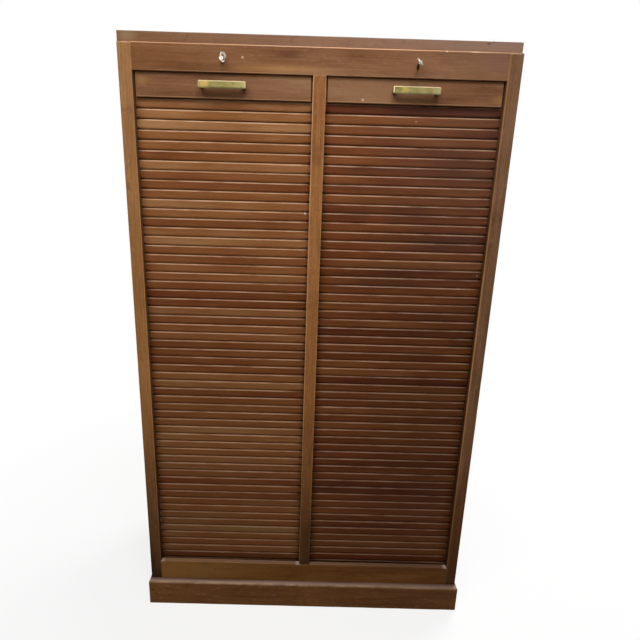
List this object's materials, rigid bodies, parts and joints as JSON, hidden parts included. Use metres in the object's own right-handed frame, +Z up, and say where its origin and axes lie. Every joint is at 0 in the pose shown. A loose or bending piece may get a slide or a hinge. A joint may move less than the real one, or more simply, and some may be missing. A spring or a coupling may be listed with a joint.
{
  "type": "tambour filing cabinet",
  "caption": "Tall free-standing wooden filing cabinet with slatted tambour curtains side by side that slide down, brass pulls, keyed locks and shelves inside.",
  "frame": {"origin": "middle of the whole cabinet's box, on the floor under the plinth", "axes": "+X to the right seen from the front, +Y from the front to the back, +Z up"},
  "size_m": [0.91, 0.4384, 1.529],
  "materials": {
    "stile_wood": "waxed mahogany, golden brown, vertical grain",
    "rail_wood": "waxed mahogany, mid brown, horizontal grain",
    "carcass_wood": "waxed mahogany boards",
    "slat_wood": "waxed mahogany slats, red brown",
    "inner_wood": "plain varnished beech",
    "back_plywood": "thin plywood, unpolished",
    "backing_canvas": "plain linen canvas glued to the slats",
    "brass": "satin brass with a light tarnish",
    "lock_steel": "pressed steel",
    "key_nickel": "worn nickel plate",
    "screw_steel": "plain steel screws"
  },
  "bodies": {
    "cabinet": {"bottom_board": "inner_wood", "bottom_rail": "rail_wood", "centre_partition": "inner_wood", "centre_stile": "stile_wood", "left_back_panel": "back_plywood", "left_cleats": "inner_wood", "left_floor": "inner_wood", "left_inner_back": "back_plywood", "left_lock_case": "lock_steel", "left_shelf_1": "inner_wood", "left_shelf_2": "inner_wood", "left_shelf_3": "inner_wood", "left_side": "carcass_wood", "left_stile": "stile_wood", "lock_screws": "screw_steel", "plinth_back": "carcass_wood", "plinth_blocks": "inner_wood", "plinth_front": "rail_wood", "plinth_left": "carcass_wood", "plinth_right": "carcass_wood", "right_back_panel": "back_plywood", "right_cleats": "inner_wood", "right_floor": "inner_wood", "right_inner_back": "back_plywood", "right_lock_case": "lock_steel", "right_shelf_1": "inner_wood", "right_shelf_2": "inner_wood", "right_shelf_3": "inner_wood", "right_side": "carcass_wood", "right_stile": "stile_wood", "top_board": "carcass_wood", "top_rail": "rail_wood"},
    "left_tambour": {"left_lead_bar": "rail_wood", "left_strike_plate": "brass", "left_handle": "brass", "left_handle_screws": "screw_steel", "left_slats": "slat_wood", "left_canvas": "backing_canvas"},
    "left_key": {"left_key": "key_nickel"},
    "left_bolt": {"left_lock_bolt": "lock_steel"},
    "right_tambour": {"right_lead_bar": "rail_wood", "right_strike_plate": "brass", "right_handle": "brass", "right_handle_screws": "screw_steel", "right_slats": "slat_wood", "right_canvas": "backing_canvas"},
    "right_key": {"right_key": "key_nickel"},
    "right_bolt": {"right_lock_bolt": "lock_steel"}
  },
  "joints": [
    {"name": "left_tambour_slide", "type": "slide", "parent": "cabinet", "child": "left_tambour", "axis": [0, 0, -1], "range_m": [0, 1.2555], "deforming": ["left_slats", "left_canvas"]},
    {"name": "right_tambour_slide", "type": "slide", "parent": "cabinet", "child": "right_tambour", "axis": [0, 0, -1], "range_m": [0, 1.2555], "deforming": ["right_slats", "right_canvas"]},
    {"name": "left_key_turn", "type": "hinge", "parent": "cabinet", "child": "left_key", "pos_m": [-0.2175, -0.18082, 1.474], "axis": [0, 1, 0], "range_deg": [0, 90]},
    {"name": "left_bolt_slide", "type": "slide", "parent": "cabinet", "child": "left_bolt", "axis": [0, 0, -1], "range_m": [0, 0.011]},
    {"name": "right_key_turn", "type": "hinge", "parent": "cabinet", "child": "right_key", "pos_m": [0.2175, -0.18082, 1.474], "axis": [0, 1, 0], "range_deg": [0, 90]},
    {"name": "right_bolt_slide", "type": "slide", "parent": "cabinet", "child": "right_bolt", "axis": [0, 0, -1], "range_m": [0, 0.011]}
  ],
  "couplings": [
    {"joint": "left_key_turn", "follows": "left_bolt_slide", "rad_per_m": 142.8},
    {"joint": "right_key_turn", "follows": "right_bolt_slide", "rad_per_m": 142.8}
  ]
}
